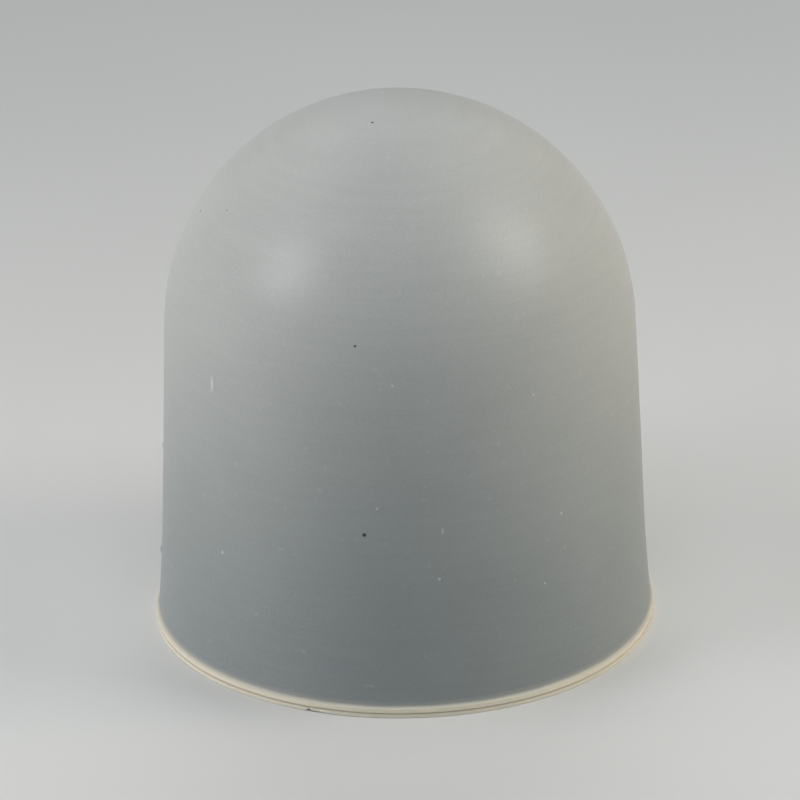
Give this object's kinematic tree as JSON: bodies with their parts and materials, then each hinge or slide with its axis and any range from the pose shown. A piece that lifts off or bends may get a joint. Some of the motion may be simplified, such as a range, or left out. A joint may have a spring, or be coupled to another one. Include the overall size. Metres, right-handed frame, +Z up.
{
  "type": "highlighting cap",
  "caption": "Milky silicone hair highlighting cap: a round crown on a tall, slightly flared skirt with an out-turned rim lip and a trimmed moulding edge, open below for the head.",
  "frame": {"origin": "centre of the rim plane, on the flat underside of the trimmed edge", "axes": "+Z up through the crown along the cap's axis of symmetry; -Y is the side seen from the front; the head goes in along +Z from below"},
  "size_m": [0.175, 0.175, 0.1875],
  "materials": {
    "milky_silicone": "matt, milky, translucent soft silicone"
  },
  "bodies": {
    "root": {"cap_shell": "milky_silicone"}
  },
  "joints": []
}
